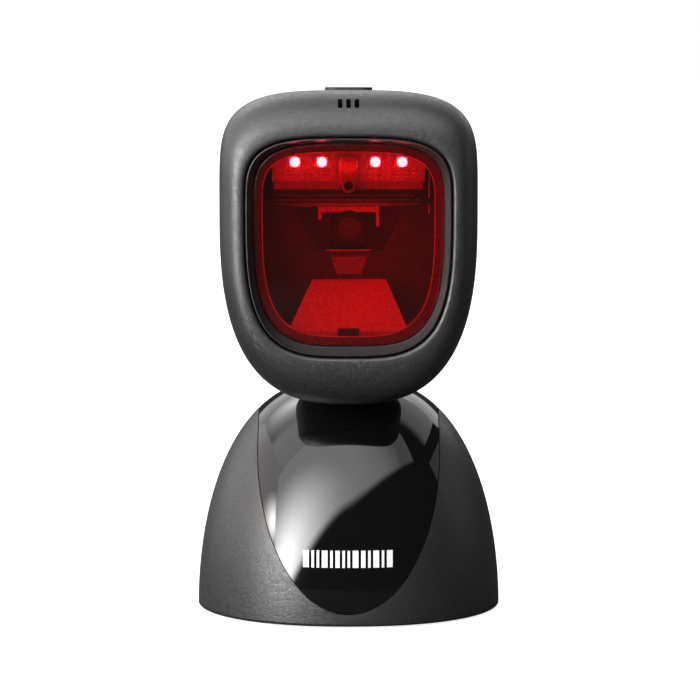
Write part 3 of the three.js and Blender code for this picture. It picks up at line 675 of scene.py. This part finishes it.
def make_window_frame():
    profile = [
        (inset(OPENING, 0.45), LIP_END_Y + 0.4),
        (inset(OPENING, 0.45), FRONT_Y + 1.3),
        (inset(OPENING, 0.52), FRONT_Y + 1.08),
        (inset(OPENING, 0.75), FRONT_Y + 1.0),
        (inset(WINDOW, -0.62), WINDOW_FRONT_Y - 0.5),
        (inset(WINDOW, -0.42), WINDOW_FRONT_Y - 0.3),
        (inset(WINDOW, -0.35), WINDOW_FRONT_Y),
        (inset(WINDOW, -0.35), SEAT_Y),
        (inset(WINDOW, FLANGE_INSET), SEAT_Y),
        (inset(WINDOW, FLANGE_INSET), SEAT_Y + SEAT_THICK),
        (inset(OPENING, -1.4), SEAT_Y + SEAT_THICK),
        (inset(OPENING, -1.4), LIP_END_Y + 0.4),
    ]
    verts, faces = loft([head_ring(o, y) for o, y in profile], wraps=True)
    ring = new_mesh("window_frame_ring", verts, faces)
    tab = join_boxes("tab", [((-2.9, SEAT_Y + 0.01, 77.0), (2.9, SEAT_Y + SEAT_THICK - 0.01, 81.4))])
    combine(ring, [tab], "UNION")
    sharpen(ring, 30)
    dress(ring, ring_black, "head", "window_frame", slot="matte_black_shell")


def make_window():
    """A flat red pane with a narrow polished bevel."""
    rings = [head_ring(inset(WINDOW, 0.15), WINDOW_BACK_Y), head_ring(WINDOW, WINDOW_BACK_Y - 0.15)]
    rings.append(head_ring(WINDOW, WINDOW_FRONT_Y + 0.3))
    for k in range(5):
        t = k / 4
        depth = mix(WINDOW_FRONT_Y + 0.3, WINDOW_FRONT_Y, math.sin(t * math.pi / 2))
        rings.append(head_ring(inset(WINDOW, 0.3 * (1 - math.cos(t * math.pi / 2))), depth))
    verts, faces = loft(rings)
    window = new_mesh("scan_window_pane", verts, faces)
    sharpen(window, 28)
    dress(window, filter_red, "head", "scan_window", slot="red_filter_window")


def flat_ring(name, outer, inner, front_y, rear_y):
    """A ring of square section between two outlines."""
    section = ((outer, front_y), (inner, front_y), (inner, rear_y), (outer, rear_y))
    verts, faces = loft([head_ring(outline, y) for outline, y in section], wraps=True)
    return new_mesh(name, verts, faces, smooth=False)


def make_gasket():
    """The foam gasket that shows as the pane's darker border, with a pale strip along its inner edge: a
    painted highlight where light from inside catches that edge.
    """
    foam = flat_ring("gasket_foam", inset(WINDOW, 0.3), inset(WINDOW, 2.05), SEAT_Y - 0.7, SEAT_Y - 0.3)
    dress(foam, border_red, "head", "window_gasket", slot="black_rubber")
    # A painted highlight: a pale strip where light from inside catches the gasket's inner edge.
    painted_edge_highlight = flat_ring("gasket_painted_highlight", inset(WINDOW, 2.12), inset(WINDOW, 2.34), SEAT_Y - 0.6, SEAT_Y - 0.3)
    dress(painted_edge_highlight, pale_trace_and_painted_highlight, "head", slot="black_rubber")


make_bezel()
make_rear_shell()
make_window_frame()
make_window()
make_gasket()


# ---------------------------------------------------------------- behind the window
BOARD_FRONT_Y = -32.2
PACKAGE_Y = -32.9
DOME_R = 1.3
PILL_HALF = 2.4
PILL_Z = 123.6
PILL_REACH = 4.7


def chips_on(name, places, size, y, depth, material):
    """Small flat parts on a board in the head that faces -Y (depth below zero) or +Y."""
    half_x, half_z = size[0] / 2, size[1] / 2
    boxes = []
    near, far = sorted((y, y + depth))
    for x, z in places:
        boxes.append(((x - half_x, near, z - half_z), (x + half_x, far, z + half_z)))
    dress(join_boxes(name, boxes), material, "head")


def make_lamp(name, x):
    """A lamp's pale package with its lit dome in front."""
    outline = rounded_rectangle(1.48, 1.38, 0.2, x, LAMP_Z)
    package = prism(name + "_package", outline, "xz", PACKAGE_Y, PACKAGE_Y + 0.4)
    dress(package, pale_package_and_painted_glare, "head", name, slot="red_lamp")
    profile = []
    for k in range(1, 13):
        angle = math.pi / 2 * k / 12
        profile.append((DOME_R * math.sin(angle), 0.8 * (1 - math.cos(angle))))
    lens = turned(name + "_dome", profile, "y", (x, PACKAGE_Y - 0.85, LAMP_Z), 32)
    dress(lens, lamp_red, "head", slot="red_lamp")


def make_lamp_board():
    """Solder pads in pairs of columns under each lamp, and a few loose pairs between them."""
    pads = []
    for x in LAMPS:
        for column in (-1.3, 1.3):
            pads += [(x + column, z) for z in (124.25, 123.25, 122.25)]
    for x in (-10.7, -4.1, 4.1, 17.4):
        pads += [(x, 124.2), (x, 123.1)]
    for x in (-4.1, 4.1, -10.8, 10.8):
        pads += [(x, 128.2), (x, 127.5)]
    chips_on("board_pads", pads, (0.95, 0.34), BOARD_FRONT_Y - 0.03, -0.12, pad_tin)
    traces = [(x + 1.3 * side, 125.6) for x in LAMPS for side in (-1.55, 1.55)]
    chips_on("board_traces", traces, (0.25, 2.2), BOARD_FRONT_Y - 0.02, -0.05, pale_trace_and_painted_highlight)


def make_sensor():
    """The pill-shaped clear cover with its screw boss."""
    rings = []
    for k in range(7):
        angle = math.pi / 2 * k / 6
        edge = 0.5 * (1 - math.sin(angle))
        half = PILL_HALF - edge
        outline = rounded_rectangle(half, PILL_REACH - edge, half - 0.01, 0, PILL_Z)
        rings.append([(x, -34.6 + 0.45 * (1 - math.cos(angle)), z) for x, z in outline])
    outline = rounded_rectangle(PILL_HALF, PILL_REACH, PILL_HALF - 0.01, 0, PILL_Z)
    rings.append([(x, -33.6, z) for x, z in outline])
    verts, faces = loft(rings)
    pill = new_mesh("sensor_cover", verts, faces)
    boss_profile = [(1.75, 0), (1.95, 0.15), (2.0, 0.4), (2.0, 2.1)]
    boss = turned("boss", boss_profile, "y", (0, -34.65, SENSOR_SCREW_Z))
    combine(pill, [boss], "UNION")
    combine(pill, [rod("bore", 1.25, 4, "y", (0, -36, SENSOR_SCREW_Z))])
    sharpen(pill, 30)
    dress(pill, sensor_clear, "head", "sensor_lens", slot="clear_optic")
    for x in (-0.75, 0, 0.75):
        dot = turned("sensor_dot", [(0.16, 0), (0.22, 0.05)], "y", (x, -34.66, 126.1), 12)
        dress(dot, pad_tin, "head", slot="clear_optic")


def make_ledge():
    """The bracket's front ledge and the thin ribs stepped in below it, laid as thin sheets in a pale red
    that paints the lamps' light onto the black bracket.
    """
    # Painted light: a thin pale red sheet where the lamps' light falls on the bracket's ledge.
    ledge = prism("bracket_ledge_painted_light", rounded_rectangle(20.0, 0.95, 0.2, 0, 119.75), "xz", -32.36, -32.24)
    combine(ledge, [rod("boss_gap", 2.3, 3, "y", (0, -34, SENSOR_SCREW_Z))])
    dress(ledge, ledge_painted_red_light, "head", slot="inner_black")
    # Painted light: thin pale red strips where the lamps' light falls on the ribs.
    steps = ((-30, 116.9), (-28, 115.5), (-26, 114.2))
    ribs = [((-19.3, y - 0.08, z), (19.3, y - 0.01, z + 0.16)) for y, z in steps]
    dress(join_boxes("bracket_ribs_painted_light", ribs), ledge_painted_red_light, "head", slot="inner_black")


def make_imager_front():
    """A pale U-shaped strip over the imager that is painted glare of the lamps' light on the funnel
    walls, the dark mask round its lens, and a pale strip on the hood's lip that is a painted highlight.
    """
    # Painted glare: a pale U-shaped strip where the lamps' light falls on the funnel walls.
    painted_glare = join_boxes("imager_painted_glare", [
        ((-8.2, -6.2, 110.5), (8.0, -5.6, 111.9)),
        ((-8.2, -6.2, 108.6), (-7.4, -5.6, 110.5)),
        ((7.2, -6.2, 106.6), (8.0, -5.6, 110.5)),
    ])
    dress(painted_glare, pale_package_and_painted_glare, "head", slot="inner_black")
    mask = prism("imager_mask", rounded_rectangle(4.9, 4.5, 0.4, 0, 106.3), "xz", -10.0, -9.7)
    combine(mask, [rod("mask_hole", 3.1, 4, "y", (0, -12, IMAGER_Z))])
    dress(mask, rubber, "head", slot="inner_black")
    barrel = turned("imager_barrel", [
        (2.9, 0), (3.6, 0), (3.9, 0.25), (4.55, 0.25), (4.6, 0.35), (4.6, 4.7), (2.9, 4.7), (2.9, 0.05),
    ], "y", (0, -9.5, IMAGER_Z), 64)
    sharpen(barrel, 30)
    dress(barrel, chip_black, "head", "imager_lens", slot="inner_black")
    sweep = 1.57
    angles = [k / 8 * sweep for k in range(1, 9)]
    glass_profile = [(2.75 * math.sin(a), 0.5 * (1 - math.cos(a))) for a in angles]
    glass = turned("imager_glass", glass_profile + [(2.75, 0.95)], "y", (0, -9.2, IMAGER_Z))
    dress(glass, optic, "head", "lens_glass", slot="clear_optic")
    # A painted highlight: a pale strip along the hood's lip.
    lip = join_boxes("hood_lip_highlight", [((-6.0, -12.45, 100.75), (5.6, -12.25, 100.95))])
    dress(lip, pale_package_and_painted_glare, "head", slot="inner_black")


def make_side_clip():
    """A moulded clip by the chamber's right wall: two pale uprights, painted highlights on its lit
    edges, and a dark slanting strut.
    """
    # Painted highlights: the pale uprights stand for light on the black clip's edges.
    post_highlights = join_boxes("clip_post_highlights", [
        ((21.55, -31.4, 112.2), (21.75, -30.9, 114.6)),
        ((21.55, -31.4, 116.4), (21.75, -30.9, 123.0)),
    ])
    dress(post_highlights, pale_trace_and_painted_highlight, "head", slot="inner_black")
    strut = [(16.8, 115.6), (22.3, 118.7), (22.3, 119.7), (16.8, 116.6)]
    dress(prism("clip_strut", strut, "xz", -31.0, -30.6), chip_black, "head", slot="inner_black")


def make_board_parts():
    """The main board's smaller components, on its rear face beside the decoder chip."""
    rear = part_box("main_board")[1][1] / MM + 0.02
    regulators = [(-14, 100), (14, 98)]
    chips_on("board_regulators", regulators, (4.2, 3.4), rear, 1.1, chip_black)
    columns, rows = (10.5, 13, 15.5), (106, 109, 112, 115)
    passives = [(side * x, z) for side in (-1, 1) for x in columns for z in rows]
    chips_on("board_passives", passives, (1.6, 0.8), rear, 0.55, part_tan)
    ends = [(x + shift, z) for x, z in passives for shift in (-0.95, 0.95)]
    chips_on("board_passive_ends", ends, (0.3, 0.8), rear, 0.56, pad_tin)


for number, lamp_x in enumerate(LAMPS):
    make_lamp(f"led_{number + 1}", lamp_x)
make_lamp_board()
make_sensor()
make_ledge()
make_imager_front()
make_side_clip()
make_board_parts()


# ---------------------------------------------------------------- pieces kept from the model
def recoat(node, material):
    node.data.materials.clear()
    node.data.materials.append(material)


def ease(node, width=0.15):
    """Rounds a machined or moulded piece's hard edges."""
    step = node.modifiers.new("edges", "BEVEL")
    step.width = width * MM
    step.segments = 2
    step.limit_method = "ANGLE"
    step.angle_limit = math.radians(40)
    step.use_clamp_overlap = True


for name, material in {
    "rubber_pad": rubber, "base_plate": hinge_black, "ballast_block": iron, "neck_post": hinge_black,
    "optics_shroud": optics_black, "imager_hood": hood_grey, "lower_reflector": reflector_grey,
    "aimer_lens": aimer_frost, "imager_holder": inner_black, "led_board": board,
    "led_bracket": optics_black, "main_board": board_green, "decoder_chip": chip_black,
    "interface_jack": chip_black, "top_board": board_green, "beeper": chip_black,
    "switch_body": inner_black, "top_button": button_black, "switch_plunger": inner_black,
    "tilt_yoke": steel, "tilt_axle": steel, "spring_washer": steel, "axle_nut": steel,
}.items():
    recoat(NODES[name], material)
for name, node in NODES.items():
    if "screw" in name:
        recoat(node, screw_black if name == "sensor_screw" else steel)
    if name.startswith("friction_washer"):
        recoat(node, rubber)
for name in (
    "beeper", "interface_jack", "decoder_chip", "switch_body", "imager_holder", "neck_post",
    "tilt_yoke",
):
    ease(NODES[name])
ease(NODES["base_plate"], 0.3)
ease(NODES["rubber_pad"], 0.3)


# ---------------------------------------------------------------- print on the inlay
def dome_front(x, z, out):
    """The point on the dome's front at a place across and up, moved out a little."""
    shrink = max(1 - (z / STAND_TOP) ** 2, 0) ** (1 / STAND_ROUND)
    across = min(abs(x) / (STAND_HALF * shrink), 1)
    y = -STAND_HALF * shrink * (1 - across ** STAND_SQUARE) ** (1 / STAND_SQUARE)
    return (x, y - out, z)


def make_print():
    """A plain row of pale bars, printed thin on the polished inlay."""
    verts, faces = [], []
    left = BAR_LEFT
    columns, rows = 3, 6
    for width in BAR_WIDTHS:
        first = len(verts)
        for row in range(rows + 1):
            for column in range(columns + 1):
                x, z = left + width * column / columns, mix(BAR_LOW, BAR_HIGH, row / rows)
                verts.append(dome_front(x, z, PRINT_THICK))
        for row in range(rows):
            for column in range(columns):
                a = first + row * (columns + 1) + column
                faces.append((a, a + 1, a + columns + 2, a + columns + 1))
        left += width + BAR_GAP
    mark = new_mesh("inlay_print", verts, faces)
    dress(mark, print_white, "stand")


make_print()


# ---------------------------------------------------------------- stage, light and camera
def make_floor():
    """A flat white floor with a faint contact shade. Only the camera sees it bright."""
    n = Nodes("floor_white")
    n.set(Roughness=0.7, Emission_Color=(1, 1, 1, 1), Specular_IOR_Level=0.0)
    path = n.node("ShaderNodeLightPath").outputs["Is Camera Ray"]
    near = n.node("ShaderNodeTexGradient", {"gradient_type": "SPHERICAL"})
    reach = n.node("ShaderNodeMapping", Vector=n.coordinates)
    reach.inputs["Scale"].default_value = (9, 9, 9)
    n.tree.links.new(reach.outputs[0], near.inputs[0])
    closeness = near.outputs["Fac"]
    uneven = n.range(n.noise(8, 3.0), 0.9, 1.0)
    pale = n.node("ShaderNodeMix", {"data_type": "RGBA"})
    n.tree.links.new(path, pale.inputs[0])
    pale.inputs[6].default_value = (0.05, 0.05, 0.05, 1)
    pale.inputs[7].default_value = (0.5, 0.5, 0.5, 1)
    n.link(pale.outputs[2], "Base Color")
    shade = n.node("ShaderNodeMath", {"operation": "MULTIPLY"})
    n.tree.links.new(uneven, shade.inputs[0])
    n.tree.links.new(n.range(closeness, 1.0, 0.8, 0.0, 0.6), shade.inputs[1])
    lit = n.node("ShaderNodeMath", {"operation": "MULTIPLY"})
    n.tree.links.new(path, lit.inputs[0])
    n.tree.links.new(n.range(shade.outputs[0], 0.6, 1.05, 0.6, 0.95), lit.inputs[1])
    n.link(lit.outputs[0], "Emission Strength")
    verts = [(-5000, -3000, 0), (5000, -3000, 0), (5000, 5000, 0), (-5000, 5000, 0)]
    floor = new_mesh("floor", verts, [(0, 1, 2, 3)])
    floor.data.materials.append(n.material)


def soft_panel(
    name, corner, along, up, size, even, hot=0.0, hot_at=(0, 0), hot_reach=(1, 1), edge=0.06,
    color=(1, 1, 1), fade=None,
):
    """A glowing studio panel: a corner in mm, two directions, and how bright it is across."""
    n = Nodes(name)
    n.tree.nodes.remove(n.shader)
    place = n.node("ShaderNodeMapping", {"vector_type": "TEXTURE"}, Vector=n.coordinates)
    place.inputs["Location"].default_value = (hot_at[0] * MM, hot_at[1] * MM, 0)
    place.inputs["Scale"].default_value = (hot_reach[0] * MM, hot_reach[1] * MM, 1)
    ball = n.node(
        "ShaderNodeTexGradient", {"gradient_type": "QUADRATIC_SPHERE"}, Vector=place.outputs[0],
    )
    glow = n.range(ball.outputs["Fac"], even, even + hot)
    across = n.node("ShaderNodeSeparateXYZ", Vector=n.coordinates).outputs["Y"]
    soft = n.node(
        "ShaderNodeMapRange", {"interpolation_type": "SMOOTHSTEP"}, Value=across, From_Min=0.0,
        From_Max=edge,
    ).outputs["Result"]
    if fade:
        start, end, low = fade
        along_x = n.node("ShaderNodeSeparateXYZ", Vector=n.coordinates).outputs["X"]
        dim = n.node("ShaderNodeMath", {"operation": "MULTIPLY"})
        n.tree.links.new(glow, dim.inputs[0])
        n.tree.links.new(n.range(along_x, 1.0, low, start * MM, end * MM), dim.inputs[1])
        glow = dim.outputs[0]
    emit = n.node("ShaderNodeEmission", Color=(*color, 1), Strength=glow)
    clear = n.node("ShaderNodeBsdfTransparent")
    blend = n.node("ShaderNodeMixShader", Fac=soft)
    n.tree.links.new(clear.outputs[0], blend.inputs[1])
    n.tree.links.new(emit.outputs[0], blend.inputs[2])
    n.tree.links.new(blend.outputs[0], n.tree.nodes["Material Output"].inputs["Surface"])
    along = Vector(along).normalized()
    up = Vector(up)
    up = (up - along * up.dot(along)).normalized()
    a, b = size
    panel = new_mesh(name, [(0, 0, 0), (a, 0, 0), (a, b, 0), (0, b, 0)], [(0, 1, 2, 3)], smooth=False)
    turn = Matrix((along, up, along.cross(up))).transposed().to_4x4()
    panel.matrix_world = Matrix.Translation(Vector(corner) * MM) @ turn
    panel.data.materials.append(n.material)
    panel.visible_camera = False


def area_light(name, place, target, size, power_w, color, glossy=True):
    """A small lamp that lights the head's inside and is itself unseen."""
    data = bpy.data.lights.new(name, "AREA")
    data.energy = power_w
    data.color = color
    data.shape = "RECTANGLE"
    data.size = size[0] * MM
    data.size_y = size[1] * MM
    light = bpy.data.objects.new(name, data)
    light.location = Vector(place) * MM
    light.rotation_mode = "QUATERNION"
    direction = (Vector(target) - Vector(place)).normalized()
    light.rotation_quaternion = direction.to_track_quat("-Z", "Y")
    light.visible_camera = False
    light.visible_transmission = False
    light.visible_glossy = glossy
    bpy.context.scene.collection.objects.link(light)


def make_world():
    """White to the camera; to everything else a dim room that brightens softly to the upper left."""
    world = bpy.data.worlds.new("studio")
    bpy.context.scene.world = world
    world.use_nodes = True
    tree = world.node_tree
    tree.nodes.clear()
    out = tree.nodes.new("ShaderNodeOutputWorld")
    seen = tree.nodes.new("ShaderNodeBackground")
    seen.inputs["Color"].default_value = (1, 1, 1, 1)
    seen.inputs["Strength"].default_value = 1.0
    lean = tree.nodes.new("ShaderNodeVectorMath")
    lean.operation = "DOT_PRODUCT"
    lean.inputs[1].default_value = (-0.75, 0, 0.55)
    tree.links.new(tree.nodes.new("ShaderNodeTexCoord").outputs["Generated"], lean.inputs[0])
    rise = tree.nodes.new("ShaderNodeMapRange")
    rise.interpolation_type = "SMOOTHSTEP"
    for name, value in {"From Min": 0.3, "From Max": 0.9, "To Min": 0.04, "To Max": 2.1}.items():
        rise.inputs[name].default_value = value
    tree.links.new(lean.outputs["Value"], rise.inputs["Value"])
    fill = tree.nodes.new("ShaderNodeBackground")
    fill.inputs["Color"].default_value = (1, 0.98, 0.98, 1)
    tree.links.new(rise.outputs["Result"], fill.inputs["Strength"])
    path = tree.nodes.new("ShaderNodeLightPath")
    blend = tree.nodes.new("ShaderNodeMixShader")
    tree.links.new(path.outputs["Is Camera Ray"], blend.inputs[0])
    tree.links.new(fill.outputs[0], blend.inputs[1])
    tree.links.new(seen.outputs[0], blend.inputs[2])
    tree.links.new(blend.outputs[0], out.inputs["Surface"])


EYE = Vector((0, -950, 174.6))
LOOK_AT = Vector((0.4, 0, 71.6))
LENS = 174.4


def make_camera():
    data = bpy.data.cameras.new("camera")
    data.sensor_width = 36
    data.lens = LENS
    data.clip_start, data.clip_end = 0.05, 20
    camera = bpy.data.objects.new("camera", data)
    camera.location = EYE * MM
    camera.rotation_mode = "QUATERNION"
    camera.rotation_quaternion = (LOOK_AT - EYE).to_track_quat("-Z", "Y")
    bpy.context.scene.collection.objects.link(camera)
    bpy.context.scene.camera = camera


make_floor()
make_world()
EDGE_START = Vector((-485, -655, -24))
EDGE_ALONG = Vector((0.840, 0.068, 0.543))
EDGE_UP = Vector((-0.48, 0.55, 0.68))
soft_panel(
    "key_panel", EDGE_START - EDGE_ALONG * 260, EDGE_ALONG, EDGE_UP, (2300, 600), 2.6,
    hot=22, hot_at=(300, 140), hot_reach=(700, 400), fade=(1000, 1700, 0.3),
)
soft_panel(
    "overhead_panel", (900, 0, 760), (-1, 0, 0), (0, 1, 0), (1800, 1100), 0.8,
    hot=4, hot_at=(1300, 560), hot_reach=(800, 700), edge=0.2,
)
soft_panel(
    "back_panel", (-900, 900, 260), (1, 0, 0), (0, 0, 1), (1800, 1000), 1.2,
    hot=34, hot_at=(900, 850), hot_reach=(900, 520), edge=0.1,
)
soft_panel(
    "left_panel", (-640, 260, 20), (0, -1, 0), (0, 0, 1), (760, 520), 1.9,
    hot=24, hot_at=(670, 220), hot_reach=(230, 160), edge=0.1, color=(1, 0.95, 0.92),
)
soft_panel(
    "right_panel", (640, -60, 20), (0, 1, 0), (0, 0, 1), (420, 420), 0.4, edge=0.1, color=(0.9, 1, 0.92),
)
area_light("lamp_fill", (0, -33.5, 112), (0, -15, 88), (24, 1), 0.0055, (1, 0.05, 0.06))
area_light(
    "board_fill", (0, -35.4, 125), (0, -32, 125), (38, 3), 0.0008, (1, 0.1, 0.12), glossy=False,
)
make_camera()
bpy.context.scene.view_settings.view_transform = "Standard"
